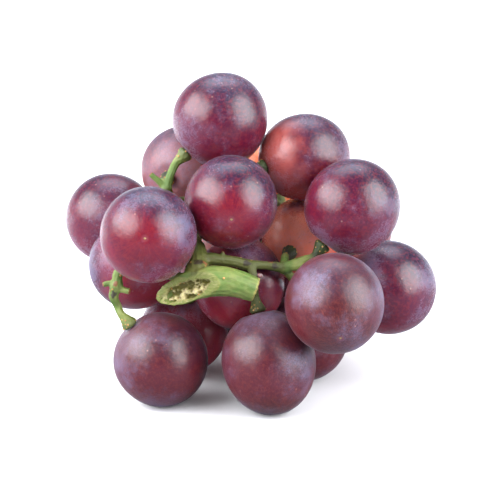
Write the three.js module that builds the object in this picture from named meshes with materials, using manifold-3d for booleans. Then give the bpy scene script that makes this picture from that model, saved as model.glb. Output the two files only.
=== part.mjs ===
// A small bunch of round red table grapes, cut from the vine and lying on its side: 23 berries
// that press against each other, carried by one branched green stem.
// Millimetres, +Z up. The lowest berries lie on z = 0, and the origin is under the middle of the bunch.
import * as THREE from 'three';
import * as BufferGeometryUtils from 'three/addons/utils/BufferGeometryUtils.js';
import Module from 'manifold-3d';

const wasm = await Module();
wasm.setup();

// Driving dimensions.
const BERRY_GAP = 0.35; // clear space between two berries that press on each other
const STALK_GAP = 0.3; // clear space between a berry and the cap that holds it
const BERRY_SIDES = 16;
const BERRY_ROWS = 10;
const CAP_WIDTH = 4.4; // the flared end of a stalk, where the berry sits
const CAP_LENGTH = 2.4;
const CAP_SIDES = 8;
const STALK_WIDTH = 2.1;
const TUBE_SIDES = 8;
const TUBE_STEP = 3; // length of one ring of a branch

// Where each berry lies (at), which way its stalk leaves it (stalk), its diameter across the stalk's
// line (wide), and its length along that line (long).
const BERRIES = {
  grape_01: { at: [-7, 0, 71.6], stalk: [-0.72, -0.18, -0.67], wide: 25.2, long: 25.6 },
  grape_02: { at: [15, 2, 61.3], stalk: [-0.88, -0.45, -0.13], wide: 23.3, long: 25.2 },
  grape_03: { at: [27.3, -17, 52.2], stalk: [-0.61, -0.21, -0.77], wide: 24.6, long: 25.2 },
  grape_04: { at: [38.5, -6, 26.7], stalk: [-0.79, -0.42, 0.44], wide: 25.4, long: 26 },
  grape_05: { at: [21.5, -36, 31], stalk: [-0.07, 0.91, 0.41], wide: 25, long: 25.8 },
  grape_06: { at: [5.5, -29, 13.5], stalk: [-0.21, 0.3, 0.93], wide: 24.2, long: 27.2 },
  grape_07: { at: [-23, -24.5, 12.3], stalk: [-0.63, 0, 0.77], wide: 24.5, long: 24.8 },
  grape_08: { at: [-25.5, -28.5, 47.5], stalk: [0, 0.98, -0.18], wide: 24.5, long: 25.2 },
  grape_09: { at: [-4.5, -16, 53], stalk: [-0.02, 0.99, 0.12], wide: 24.2, long: 25 },
  grape_10: { at: [-38.5, 15, 41], stalk: [0.63, -0.69, 0.35], wide: 25.2, long: 25.8 },
  grape_11: { at: [-18.2, 17, 53.7], stalk: [-0.33, -0.94, 0], wide: 24.3, long: 25 },
  grape_12: { at: [-31, -6.5, 34], stalk: [0.88, -0.28, 0.39], wide: 24.4, long: 25 },
  grape_13: { at: [-18, 1, 12], stalk: [0.1, -0.47, 0.88], wide: 24, long: 24.6 },
  grape_14: { at: [-2, -10, 29], stalk: [-0.16, 0.55, 0.82], wide: 24.4, long: 25 },
  grape_15: { at: [15.5, 3.5, 38], stalk: [-0.36, -0.93, -0.06], wide: 23.2, long: 24 },
  grape_16: { at: [15.5, -5, 12], stalk: [-0.2, -0.4, 0.9], wide: 23.8, long: 24.4 },
  grape_17: { at: [5.5, 24, 50.5], stalk: [0.24, -0.92, -0.3], wide: 23.2, long: 24 },
  grape_18: { at: [-9, 13.5, 31.4], stalk: [0.17, -0.54, 0.82], wide: 24.2, long: 25 },
  grape_19: { at: [-9.5, 28, 12.2], stalk: [0.55, -0.23, 0.8], wide: 24.2, long: 25 },
  grape_20: { at: [13.5, 20.5, 12.2], stalk: [-0.32, -0.07, 0.95], wide: 24.2, long: 24.8 },
  grape_21: { at: [-23, 33.5, 32], stalk: [0.72, -0.41, 0.55], wide: 24.2, long: 25 },
  grape_22: { at: [29, 23.5, 35.5], stalk: [-0.97, -0.22, 0.1], wide: 24.2, long: 25 },
  grape_23: { at: [8, 36.5, 30], stalk: [-0.13, -0.97, 0.19], wide: 24, long: 24.6 },
};

// The stem. Each branch is a list of points on its centre line: x, y, z and the diameter there.
// A branch starts inside the one that carries it.
const MAIN_STEM = [
  [2, -30.3, 33.2, 6.3],
  [-2, -30.2, 34.7, 6.9],
  [-6, -30, 35.5, 7.7],
  [-10, -30, 35.5, 8],
  [-14, -30, 34.6, 7.9],
  [-17.5, -30.2, 33.1, 7.3],
  [-20.5, -30.3, 32, 6.4],
  [-25.4, -30.5, 30, 4.2],
];
const NECK = [-14.5, -14, 41.3];
const HEART = [-5, 2, 47]; // the open middle of the bunch, where most stalks meet
const RIGHT_FORK = [9.4, -19.2, 36.1];
const LEFT_FORK = [-22, -5.8, 54.5];
const LOW_FORK = [-34.4, -23.8, 32.5];
const BACK_FORK = [0, 8, 46];
const BACK_END = [6, 19, 34];
const RACHIS = [
  [-13, -29, 35.8, 6.4],
  [-13, -25, 38.8, 5.2],
  [-13.2, -20.5, 41.3, 4.4],
  [...NECK, 4.2],
  [-14, -6, 41.8, 4],
  [-10, 0, 45, 4],
  [...HEART, 3.8],
];
const BACK_BRANCH = [
  [...HEART, 3.4],
  [...BACK_FORK, 3.2],
  [4, 14, 41, 2.7],
  [...BACK_END, 2.4],
];
const RIGHT_BRANCH = [
  [-13, -24, 38.6, 3.6],
  [-10, -23.4, 39.7, 3.2],
  [-7, -23, 39.3, 2.9],
  [-3.7, -22.6, 38.7, 2.8],
  [-0.6, -22.3, 37.9, 2.9],
  [3.8, -21.3, 37.4, 2.2],
  [...RIGHT_FORK, 2.8],
];
const LEFT_BRANCH = [
  [...HEART, 3],
  [-14, -1, 50, 2.6],
  [-20, -4, 50.7, 2.5],
  [...LEFT_FORK, 2.4],
];
const LOW_LEFT_BRANCH = [
  [-14.5, -28.5, 35.8, 2.8],
  [-19.5, -24, 35.2, 2.1],
  [-25.3, -21.5, 34.8, 2],
  [-30.3, -21.6, 35.5, 2.1],
  [-33.6, -23, 36.2, 2.5],
  [...LOW_FORK, 3],
];
// The swollen knots where branches meet: the middle, and the diameter.
const KNOTS = [
  [[-13, -27.5, 37], 7],
  [NECK, 4.6],
  [HEART, 5.4],
  [RIGHT_FORK, 3.6],
  [LEFT_FORK, 3.2],
  [LOW_FORK, 3.7],
  [BACK_FORK, 4],
  [BACK_END, 3.6],
];
// Short ends of stalks whose berries are gone.
const STUBS = [
  [[...LEFT_FORK, 2.2], [-24.4, -5.7, 56.7, 1.6], [-26.3, -5.5, 58.4, 1.4]],
  [[...LOW_FORK, 2.2], [-36.2, -23.8, 33.2, 1.5], [-38, -24.1, 32.8, 1.4]],
  [[-34.4, -23.8, 31.8, 2.2], [-32.7, -24.5, 31.6, 1.7], [-30.8, -25, 31.2, 1.6]],
  [[-6.8, -23, 39.3, 1.4], [-6.5, -22.8, 41.6, 0.9]],
];
// What carries each berry: its stalk's points, from the branch up to the cap, which is added.
const STALKS = {
  grape_01: [[...LEFT_FORK, 2.6], [-20.9, -5, 58, STALK_WIDTH]],
  grape_02: [[...HEART, 2.6], [-2.5, 1.5, 53.5, STALK_WIDTH], [0.2, 0, 57.7, STALK_WIDTH]],
  grape_03: [[...RIGHT_FORK, 2.8], [14, -18.4, 37.7, 2.3]],
  grape_04: [[...RIGHT_FORK, 2.6], [16, -17.5, 37, 2.2], [22, -15.5, 36.3, STALK_WIDTH]],
  grape_05: [[...RIGHT_FORK, 2.4], [15, -19, 36.8, 2.2]],
  grape_06: [[0.8, -22.3, 38, 2.4], [1.4, -24.2, 34, 2.2]],
  grape_07: [[...LOW_FORK, 3], [-35.2, -24, 29.6, 2.5], [-34.2, -23.5, 26.7, STALK_WIDTH]],
  grape_08: [[...NECK, 2.4], [-20.5, -13, 44.4, STALK_WIDTH]],
  grape_09: [[...HEART, 2.6], [-5, 2.4, 52, STALK_WIDTH]],
  grape_10: [[-20, -4, 50.7, 2.4], [-25, -1, 49.2, STALK_WIDTH]],
  grape_11: [[...LEFT_FORK, 2.2], [-22.4, -2, 54.8, STALK_WIDTH]],
  grape_12: [[...NECK, 2.4]],
  grape_13: [[-14, -18, 41, 2.4], [-15.8, -13.5, 34, STALK_WIDTH], [-16.5, -9, 28, STALK_WIDTH]],
  grape_14: [[...HEART, 2.4], [-4.4, 0.5, 43.5, STALK_WIDTH]],
  grape_15: [[...RIGHT_FORK, 2.4], [9.8, -14.5, 37.6, STALK_WIDTH]],
  grape_16: [[...RIGHT_FORK, 2.4], [12, -15.6, 31.5, STALK_WIDTH]],
  grape_17: [[...BACK_FORK, 2.4], [4.8, 8.6, 47.8, STALK_WIDTH]],
  grape_18: [[...HEART, 2.4]],
  grape_19: [[...BACK_END, 2.4], [1, 23.5, 27.5, STALK_WIDTH]],
  grape_20: [[...BACK_END, 2.4], [7.3, 19, 29.5, STALK_WIDTH]],
  grape_21: [[...HEART, 2.4], [-4, 14, 47, STALK_WIDTH], [-7, 21, 45, STALK_WIDTH]],
  grape_22: [[4.6, 15.5, 39.2, 2.4], [9.5, 19, 37.8, STALK_WIDTH]],
  grape_23: [[...BACK_END, 2.4]],
};

// The long slanting cut along the left end of the main stem, and the hollow torn in it.
const SLICE_AT = [-15.7, -30.2, 33.6];
const SLICE_FACING = [-0.37, -0.92, 0.11];
const SLICE_ALONG = [-0.87, 0.3, -0.39];
const SLICE_BLOCK = 30;
const HOLLOW_HALF = [6.8, 2.2, 1.3]; // half its length, width and depth

const berryPaint = new THREE.MeshStandardMaterial({ color: 0x5c1230, roughness: 0.35, metalness: 0 });
const stemPaint = new THREE.MeshStandardMaterial({ color: 0x8ea03c, roughness: 0.6, metalness: 0 });

// How far a berry reaches from its middle in a direction, which has length 1.
function reach(berry, direction) {
  const across = berry.wide / 2;
  const along = berry.long / 2;
  const share = berry.stalkWay.dot(direction) ** 2;
  return Math.sqrt(across ** 2 * (1 - share) + along ** 2 * share);
}

// Moves two berries apart, half each, until they are BERRY_GAP clear of each other.
function partBerries(one, other) {
  const way = other.middle.clone().sub(one.middle);
  const distance = way.length();
  way.divideScalar(distance);
  const push = (reach(one, way) + reach(other, way) + BERRY_GAP - distance) / 2;
  if (push > 0) {
    one.middle.addScaledVector(way, -push);
    other.middle.addScaledVector(way, push);
  }
}

// Settles the berries against each other and on the floor, which moves each by less than a millimetre.
function settledBerries(rounds = 60) {
  const up = new THREE.Vector3(0, 0, 1);
  const berries = Object.entries(BERRIES).map(([name, { at, stalk, wide, long }]) => ({
    name,
    wide,
    long,
    middle: new THREE.Vector3(...at),
    stalkWay: new THREE.Vector3(...stalk).normalize(),
  }));
  for (let round = 0; round < rounds; round++) {
    berries.forEach((one, i) => berries.slice(i + 1).forEach((other) => partBerries(one, other)));
    berries.forEach((berry) => {
      berry.middle.z = Math.max(berry.middle.z, reach(berry, up));
    });
  }
  return berries;
}

// A berry's skin, with its stalk end up along its own Y.
function berryGeometry({ wide, long }) {
  const profile = [];
  for (let row = 0; row <= BERRY_ROWS; row++) {
    const angle = Math.PI * (row / BERRY_ROWS - 0.5);
    const radius = row % BERRY_ROWS === 0 ? 0 : Math.cos(angle) * (wide / 2);
    profile.push(new THREE.Vector2(radius, Math.sin(angle) * (long / 2)));
  }
  return new THREE.LatheGeometry(profile, BERRY_SIDES);
}

function toSolid(geometry) {
  const bare = geometry.clone();
  bare.deleteAttribute('normal');
  bare.deleteAttribute('uv');
  const merged = BufferGeometryUtils.mergeVertices(bare, 1e-4);
  const mesh = new wasm.Mesh({
    numProp: 3,
    vertProperties: merged.attributes.position.array,
    triVerts: merged.index.array,
  });
  return new wasm.Manifold(mesh);
}

function toGeometry(solid) {
  const { vertProperties, triVerts } = solid.getMesh();
  const geometry = new THREE.BufferGeometry();
  geometry.setAttribute('position', new THREE.BufferAttribute(vertProperties, 3));
  geometry.setIndex(new THREE.BufferAttribute(triVerts, 1));
  geometry.computeVertexNormals();
  return geometry;
}

// A round branch whose diameter changes along its centre line: a thin rod is swept along the line,
// and each ring of it is then opened out to the branch's own radius.
function branchSolid(points) {
  const rodRadius = 0.1;
  const outline = Array.from({ length: TUBE_SIDES }, (_, side) => {
    const angle = (2 * Math.PI * side) / TUBE_SIDES;
    return new THREE.Vector2(Math.cos(angle), Math.sin(angle)).multiplyScalar(rodRadius);
  });
  const line = new THREE.CatmullRomCurve3(points.map(([x, y, z]) => new THREE.Vector3(x, y, z)));
  const steps = Math.max(2, Math.round(line.getLength() / TUBE_STEP));
  const rod = new THREE.ExtrudeGeometry(new THREE.Shape(outline), {
    steps,
    bevelEnabled: false,
    extrudePath: line,
  });
  const rings = line.getSpacedPoints(steps);
  const corner = new THREE.Vector3();
  const spots = rod.attributes.position;
  for (let i = 0; i < spots.count; i++) {
    corner.fromBufferAttribute(spots, i);
    const ring = nearest(rings, corner);
    const place = line.getUtoTmapping(ring / steps) * (points.length - 1);
    const before = Math.min(Math.floor(place), points.length - 2);
    const wide = THREE.MathUtils.lerp(points[before][3], points[before + 1][3], place - before);
    corner.sub(rings[ring]).multiplyScalar(wide / 2 / rodRadius).add(rings[ring]);
    spots.setXYZ(i, corner.x, corner.y, corner.z);
  }
  return toSolid(rod);
}

function nearest(places, spot) {
  const distances = places.map((place) => place.distanceToSquared(spot));
  return distances.indexOf(Math.min(...distances));
}

function knotSolid([middle, wide]) {
  return toSolid(new THREE.SphereGeometry(wide / 2, 8, 6).translate(...middle));
}

// The flared cap at a stalk's end. It opens towards the berry and stops STALK_GAP short of it.
function capSolid({ middle, stalkWay, long }) {
  const outline = [
    [0, 0],
    [CAP_WIDTH / 2, 0],
    [CAP_WIDTH / 2, 0.7],
    [STALK_WIDTH / 2 + 0.15, CAP_LENGTH],
    [0, CAP_LENGTH],
  ];
  const cap = new THREE.LatheGeometry(outline.map(([r, y]) => new THREE.Vector2(r, y)), CAP_SIDES);
  const up = new THREE.Vector3(0, 1, 0);
  cap.applyQuaternion(new THREE.Quaternion().setFromUnitVectors(up, stalkWay));
  const start = middle.clone().addScaledVector(stalkWay, long / 2 + STALK_GAP);
  cap.translate(start.x, start.y, start.z);
  return toSolid(cap);
}

// A berry's stalk: its own points, and then two on the berry's axis, inside the cap.
function stalkSolid(berry) {
  const onAxis = (distance) => {
    const spot = berry.middle.clone().addScaledVector(berry.stalkWay, berry.long / 2 + distance);
    return [spot.x, spot.y, spot.z, STALK_WIDTH];
  };
  return branchSolid([...STALKS[berry.name], onAxis(CAP_LENGTH + 0.6), onAxis(STALK_GAP + 1)]);
}

// Takes the slanting slice off the main stem, and the hollow out of the face that it leaves.
function sliced(stem) {
  const facing = new THREE.Vector3(...SLICE_FACING).normalize();
  const along = new THREE.Vector3(...SLICE_ALONG);
  along.addScaledVector(facing, -along.dot(facing)).normalize();
  const across = new THREE.Vector3().crossVectors(facing, along);
  const place = new THREE.Matrix4().makeBasis(along, across, facing);
  const at = new THREE.Vector3(...SLICE_AT);

  const block = new THREE.BoxGeometry(SLICE_BLOCK, SLICE_BLOCK / 2, SLICE_BLOCK / 3);
  block.translate(0, 0, SLICE_BLOCK / 6);
  block.applyMatrix4(place).translate(at.x, at.y, at.z);

  const hollow = new THREE.SphereGeometry(1, 16, 10).scale(...HOLLOW_HALF);
  hollow.applyMatrix4(place).translate(at.x, at.y, at.z);
  return stem.subtract(toSolid(block)).subtract(toSolid(hollow));
}

function stemGeometry(berries) {
  const mainStem = sliced(branchSolid(MAIN_STEM));
  const branches = [RACHIS, BACK_BRANCH, RIGHT_BRANCH, LEFT_BRANCH, LOW_LEFT_BRANCH, ...STUBS];
  const pieces = [
    ...branches.map((points) => branchSolid(points)),
    ...KNOTS.map((knot) => knotSolid(knot)),
    ...berries.map((berry) => stalkSolid(berry)),
    ...berries.map((berry) => capSolid(berry)),
  ];
  return toGeometry(pieces.reduce((whole, piece) => whole.add(piece), mainStem));
}

const bunch = new THREE.Group();
const berries = settledBerries();
for (const berry of berries) {
  const mesh = new THREE.Mesh(berryGeometry(berry), berryPaint);
  mesh.name = berry.name;
  mesh.position.copy(berry.middle);
  mesh.quaternion.setFromUnitVectors(new THREE.Vector3(0, 1, 0), berry.stalkWay);
  bunch.add(mesh);
}
const stem = new THREE.Mesh(stemGeometry(berries), stemPaint);
stem.name = 'stem';
bunch.add(stem);

export default bunch;
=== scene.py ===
# %% [markdown]
# # A bunch of red table grapes
#
# The bunch lies on its side: 23 berries pressed together round one green branching stem, whose thick
# end was cut off the vine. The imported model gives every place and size. This lesson gives each berry
# its dimple, its blossom scar, its skin and its waxy bloom, and gives the stem its ridges, its flared
# caps, its corky dots and its torn slanting cut.

import math

import bmesh
import bpy
import numpy as np
from mathutils import Matrix, Vector, kdtree, noise


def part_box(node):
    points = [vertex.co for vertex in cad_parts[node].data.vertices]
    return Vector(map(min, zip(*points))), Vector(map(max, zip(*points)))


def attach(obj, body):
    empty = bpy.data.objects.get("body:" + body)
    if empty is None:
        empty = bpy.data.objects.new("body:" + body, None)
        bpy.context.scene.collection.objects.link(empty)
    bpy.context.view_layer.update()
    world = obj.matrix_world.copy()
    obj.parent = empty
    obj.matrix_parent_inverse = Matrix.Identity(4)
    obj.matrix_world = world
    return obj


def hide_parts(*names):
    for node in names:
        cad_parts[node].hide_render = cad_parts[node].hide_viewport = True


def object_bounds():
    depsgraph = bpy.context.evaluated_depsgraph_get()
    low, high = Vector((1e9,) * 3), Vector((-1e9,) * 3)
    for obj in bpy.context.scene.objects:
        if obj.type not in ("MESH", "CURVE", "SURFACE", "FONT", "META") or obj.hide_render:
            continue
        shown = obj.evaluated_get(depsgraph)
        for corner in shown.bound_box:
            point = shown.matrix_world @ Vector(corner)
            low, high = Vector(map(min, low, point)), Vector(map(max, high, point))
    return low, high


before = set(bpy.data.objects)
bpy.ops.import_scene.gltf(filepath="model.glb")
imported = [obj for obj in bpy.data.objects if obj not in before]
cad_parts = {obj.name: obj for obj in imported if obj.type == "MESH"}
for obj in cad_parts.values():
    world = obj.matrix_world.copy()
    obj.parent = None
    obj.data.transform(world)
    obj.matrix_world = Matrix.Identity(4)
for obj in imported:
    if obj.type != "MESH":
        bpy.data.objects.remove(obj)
cad_low, cad_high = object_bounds()
MM = 0.001
print("the packed bunch, in millimetres:", [round(side / MM, 1) for side in cad_high - cad_low])

# %% [markdown]
# ## Camera, floor and light
#
# A bunch like this is usually shown on a white table between two large softboxes. One box
# would leave half of every berry dark, and a bare sky would wash the skins out. So there are two wide
# boxes, which every berry mirrors as two broad patches, a weaker panel overhead, and a pale surround
# that is brighter behind the bunch, where it draws a thin pale line round each berry.

# %% Camera
def new_object(name, data):
    """Puts an object with this data in the scene."""
    made = bpy.data.objects.new(name, data)
    bpy.context.scene.collection.objects.link(made)
    return made


CAMERA_RISE = math.radians(15)
CAMERA_DISTANCE = 0.4147
AIM_SHIFT = Vector((0.0008, 0, -0.005))
LENS = 108.3

centre = (cad_low + cad_high) / 2
camera = new_object("camera", bpy.data.cameras.new("camera"))
camera.data.lens = LENS
camera.data.clip_start = 0.01
back = Vector((0, -math.cos(CAMERA_RISE), math.sin(CAMERA_RISE)))
camera.location = centre + AIM_SHIFT + back * CAMERA_DISTANCE
camera.rotation_euler = (math.pi / 2 - CAMERA_RISE, 0, 0)
bpy.context.scene.camera = camera
print("camera at", [round(c, 4) for c in camera.location])


# %% Node helpers
def add(tree, kind, values=None, **settings):
    """Adds a node with its settings. Each value is a number, a colour, or a socket to link from."""
    made = tree.nodes.new(kind)
    for name, value in settings.items():
        setattr(made, name, value)
    for name, value in (values or {}).items():
        if isinstance(value, bpy.types.NodeSocket):
            tree.links.new(value, made.inputs[name])
        else:
            made.inputs[name].default_value = value
    return made


def maths(tree, operation, first, second=0.0, clamp=False):
    values = {0: first, 1: second}
    return add(tree, "ShaderNodeMath", values, operation=operation, use_clamp=clamp).outputs[0]


def ramp(tree, value, low, high, to_low=0.0, to_high=1.0):
    """Turns value into a smooth step: to_low up to low, to_high past high."""
    values = {"Value": value, "From Min": low, "From Max": high, "To Min": to_low, "To Max": to_high}
    return add(tree, "ShaderNodeMapRange", values, interpolation_type="SMOOTHSTEP").outputs[0]


def blend(tree, share, first, second):
    values = {0: share, 6: first, 7: second}
    return add(tree, "ShaderNodeMix", values, data_type="RGBA").outputs[2]


def point_maths(tree, operation, first, second=None):
    """Vector arithmetic: second is a vector, or the number that first is scaled by."""
    made = add(tree, "ShaderNodeVectorMath", {0: first}, operation=operation)
    if second is not None:
        slot = "Scale" if operation == "SCALE" else 1
        if isinstance(second, bpy.types.NodeSocket):
            tree.links.new(second, made.inputs[slot])
        else:
            made.inputs[slot].default_value = second
    return made.outputs["Value" if operation == "LENGTH" else 0]


def speckle(tree, place, scale, detail=4.0, rough=0.6):
    values = {"Vector": place, "Scale": scale, "Detail": detail, "Roughness": rough}
    return add(tree, "ShaderNodeTexNoise", values).outputs["Fac"]


def new_group(name, inputs, outputs):
    """Starts a shader node group. The inputs are name: (socket type, default), the outputs name: type."""
    tree = bpy.data.node_groups.new(name, "ShaderNodeTree")
    for socket, (kind, default) in inputs.items():
        made = tree.interface.new_socket(socket, in_out="INPUT", socket_type=kind)
        if default is not None:
            made.default_value = default
    for socket, kind in outputs.items():
        tree.interface.new_socket(socket, in_out="OUTPUT", socket_type=kind)
    return tree, tree.nodes.new("NodeGroupInput").outputs, tree.nodes.new("NodeGroupOutput").inputs


def use_group(tree, group, values):
    return add(tree, "ShaderNodeGroup", values, node_tree=group).outputs


def new_material(name):
    """A material that is empty but for its Principled shader. Returns the material, tree and shader."""
    material = bpy.data.materials.new(name)
    material.use_nodes = True
    tree = material.node_tree
    return material, tree, tree.nodes["Principled BSDF"]


def kept_value(tree, name, output="Fac"):
    """What the mesh keeps at each point under this name: a number, or a way as its "Vector"."""
    return add(tree, "ShaderNodeAttribute", attribute_name=name).outputs[output]


def set_shader(shader, values):
    for name, value in values.items():
        shader.inputs[name].default_value = value


def bumped(tree, shader, height, strength, distance):
    """Lets the shader's surface rise and fall with height, by distance metres."""
    values = {"Strength": strength, "Distance": distance, "Height": height}
    tree.links.new(add(tree, "ShaderNodeBump", values).outputs[0], shader.inputs["Normal"])


def cloudy_material(name, scale, dark, pale, rough):
    """A material in two shades that change in soft clouds. Returns the material, tree and shader."""
    material, tree, shader = new_material(name)
    place = add(tree, "ShaderNodeTexCoord").outputs["Object"]
    clouds = speckle(tree, place, scale, 3.0, 0.6)
    shade = blend(tree, ramp(tree, clouds, 0.35, 0.65), dark, pale)
    tree.links.new(shade, shader.inputs["Base Color"])
    shader.inputs["Roughness"].default_value = rough
    return material, tree, shader


NUMBER = "NodeSocketFloat"
VECTOR = "NodeSocketVector"
WHITE = (1, 1, 1, 1)

# %% Floor, surround and softboxes
FLOOR_SIDE = 40.0
LIGHT_DISTANCE = 1.0
# name: azimuth and elevation of the light as seen from the bunch, width, height, brightness, tint
SOFTBOXES = {
    "left_box": (-70, 33, 1.75, 1.1, 9.6, (0.93, 0.96, 1.0)),
    "right_box": (67, 26, 1.3, 1.5, 8.6, (0.93, 0.96, 1.0)),
    "top_panel": (180, 66, 1.2, 0.9, 3.9, (0.80, 0.87, 1.0)),
}

FRONT_CARD = (0.21, 0.215, 0.26, 1)
TABLE = (0.80, 0.82, 0.86, 1)
TABLE_SEEN = (0.80, 0.80, 0.81, 1)

floor_mesh = bpy.data.meshes.new("floor")
half = FLOOR_SIDE / 2
corners = [(-half, -half, 0), (half, -half, 0), (half, half, 0), (-half, half, 0)]
floor_mesh.from_pydata(corners, [], [(0, 1, 2, 3)])
floor = new_object("floor", floor_mesh)
floor_paint, floor_tree, floor_shader = new_material("floor_paint")
# The table is white where it is seen, and between it and the bunch's front lies a dark card, so
# that the berries' lower halves stay deep red. Here the card is only in what the other rays meet.
seen_floor = add(floor_tree, "ShaderNodeLightPath").outputs["Is Camera Ray"]
floor_place = add(floor_tree, "ShaderNodeTexCoord").outputs["Object"]
floor_depth = add(floor_tree, "ShaderNodeSeparateXYZ", {0: floor_place}).outputs["Y"]
card = blend(floor_tree, ramp(floor_tree, floor_depth, 0.0, 0.22), FRONT_CARD, TABLE)
floor_distance = point_maths(floor_tree, "LENGTH", floor_place)
pale = blend(floor_tree, ramp(floor_tree, floor_distance, 0.3, 1.6), TABLE_SEEN, WHITE)
floor_colour = blend(floor_tree, seen_floor, card, pale)
floor_tree.links.new(floor_colour, floor_shader.inputs["Base Color"])
floor_shader.inputs["Roughness"].default_value = 0.9
floor_mesh.materials.append(floor_paint)


# A panel glows evenly as far as GLOW_START from its middle, and at its edge only GLOW_EDGE is left.
GLOW_START = 0.22
GLOW_EDGE = 0.08
CORNERS = 4.0  # at 2 the glowing patch would be round, and the larger it is the squarer it gets


def softbox(name, azimuth, elevation, width, height, brightness, tint):
    """A flat panel that faces the bunch, brighter in its middle. Brightness is what a mirror shows."""
    turn = math.radians(azimuth)
    rise = math.radians(elevation)
    way = Vector((math.sin(turn) * math.cos(rise), -math.cos(turn) * math.cos(rise), math.sin(rise)))
    lamp = bpy.data.lights.new(name, "AREA")
    lamp.shape = "RECTANGLE"
    lamp.size = width
    lamp.size_y = height
    lamp.energy = brightness * math.pi * width * height
    lamp.color = tint
    lamp.use_nodes = True
    cloth = lamp.node_tree
    on_panel = add(cloth, "ShaderNodeNewGeometry").outputs["Parametric"]
    spot = add(cloth, "ShaderNodeSeparateXYZ", {0: on_panel}).outputs
    from_middle = 0.0
    for side in ("X", "Y"):
        away = maths(cloth, "ABSOLUTE", maths(cloth, "SUBTRACT", spot[side], 0.5))
        from_middle = maths(cloth, "ADD", maths(cloth, "POWER", away, CORNERS), from_middle)
    from_middle = maths(cloth, "POWER", from_middle, 1 / CORNERS)
    glow = ramp(cloth, from_middle, GLOW_START, 0.5, 1.0, GLOW_EDGE)
    cloth.links.new(glow, cloth.nodes["Emission"].inputs["Strength"])
    panel = new_object(name, lamp)
    panel.location = centre + way * LIGHT_DISTANCE
    panel.rotation_euler = way.to_track_quat("Z", "Y").to_euler()
    panel.visible_camera = False


for name, settings in SOFTBOXES.items():
    softbox(name, *settings)

SURROUND_FRONT = (0.12, 0.12, 0.14, 1)
SURROUND_BEHIND = (0.42, 0.46, 0.58, 1)
SKYLINE_BEHIND = (1.3, 1.4, 1.6, 1)
FILL = (1.03, 1.0, 1.05, 1)  # the room's soft light between the berries

world = bpy.data.worlds.new("surround")
bpy.context.scene.world = world
world.use_nodes = True
sky = world.node_tree
way = add(sky, "ShaderNodeTexCoord").outputs["Generated"]
heading = add(sky, "ShaderNodeSeparateXYZ", {0: way}).outputs
depth = heading["Y"]
rays = add(sky, "ShaderNodeLightPath").outputs
surround = blend(sky, ramp(sky, depth, -0.3, 0.8), SURROUND_FRONT, SURROUND_BEHIND)
skyline = ramp(sky, maths(sky, "ABSOLUTE", heading["Z"]), 0.30, 0.05)
skyline = maths(sky, "MULTIPLY", skyline, ramp(sky, depth, 0.2, 0.7))
surround = blend(sky, skyline, surround, SKYLINE_BEHIND)
surround = blend(sky, rays["Is Diffuse Ray"], surround, FILL)
surround = blend(sky, rays["Is Camera Ray"], surround, WHITE)
sky.links.new(surround, sky.nodes["Background"].inputs["Color"])
bpy.context.scene.view_settings.view_transform = "Standard"
print("lights:", ", ".join(SOFTBOXES))

# %% [markdown]
# ## The berries
#
# A grape is nearly round, and a little longer along the line from its stalk to the blossom scar. It
# has a shallow dimple under the stalk's cap, a tiny pit with a dry scar at the far end, and it is never
# quite even. Twenty-three berries follow one rule with different sizes, so one Geometry Nodes tree
# makes them: a sphere, shaped by named inputs, with the scar instanced at its pole. The tree also keeps
# every point's direction from the berry's middle, which the skin's pattern follows later.

# %% Berry sizes
# name: way from its middle to its stalk, width and length in mm, and which skin it has
BERRIES = {
    "grape_01": ((-0.72, -0.18, -0.67), 25.2, 25.6, "ripe"),
    "grape_02": ((-0.88, -0.45, -0.13), 23.3, 25.2, "red"),
    "grape_03": ((-0.61, -0.21, -0.77), 24.6, 25.2, "ripe"),
    "grape_04": ((-0.79, -0.42, 0.44), 25.4, 26, "ripe"),
    "grape_05": ((-0.07, 0.91, 0.41), 25, 25.8, "wine"),
    "grape_06": ((-0.21, 0.3, 0.93), 24.2, 27.2, "wine"),
    "grape_07": ((-0.63, 0, 0.77), 24.5, 24.8, "wine"),
    "grape_08": ((0, 0.98, -0.18), 24.5, 25.2, "ripe"),
    "grape_09": ((-0.02, 0.99, 0.12), 24.2, 25, "ripe"),
    "grape_10": ((0.63, -0.69, 0.35), 25.2, 25.8, "ripe"),
    "grape_11": ((-0.33, -0.94, 0), 24.3, 25, "pink"),
    "grape_12": ((0.88, -0.28, 0.39), 24.4, 25, "deep"),
    "grape_13": ((0.1, -0.47, 0.88), 24, 24.6, "deep"),
    "grape_14": ((-0.16, 0.55, 0.82), 24.4, 25, "deep"),
    "grape_15": ((-0.36, -0.93, -0.06), 23.2, 24, "amber"),
    "grape_16": ((-0.2, -0.4, 0.9), 23.8, 24.4, "wine"),
    "grape_17": ((0.24, -0.92, -0.3), 23.2, 24, "honey"),
    "grape_18": ((0.17, -0.54, 0.82), 24.2, 25, "pink"),
    "grape_19": ((0.55, -0.23, 0.8), 24.2, 25, "wine"),
    "grape_20": ((-0.32, -0.07, 0.95), 24.2, 24.8, "ripe"),
    "grape_21": ((0.72, -0.41, 0.55), 24.2, 25, "ripe"),
    "grape_22": ((-0.97, -0.22, 0.1), 24.2, 25, "red"),
    "grape_23": ((-0.13, -0.97, 0.19), 24, 24.6, "ripe"),
}
BERRY_GAP = 0.35
SCAR_RADIUS = 0.33
BERRY_SIDES = 112
BERRY_ROWS = 72
print(len(BERRIES), "berries, with", BERRY_SIDES * BERRY_ROWS, "faces each and a scar")


# %% The tree that shapes a berry
def keep_attribute(tree, geometry, name, kind, value):
    values = {"Geometry": geometry, "Name": name, "Value": value}
    return add(tree, "GeometryNodeStoreNamedAttribute", values, data_type=kind, domain="POINT").outputs[0]


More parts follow.
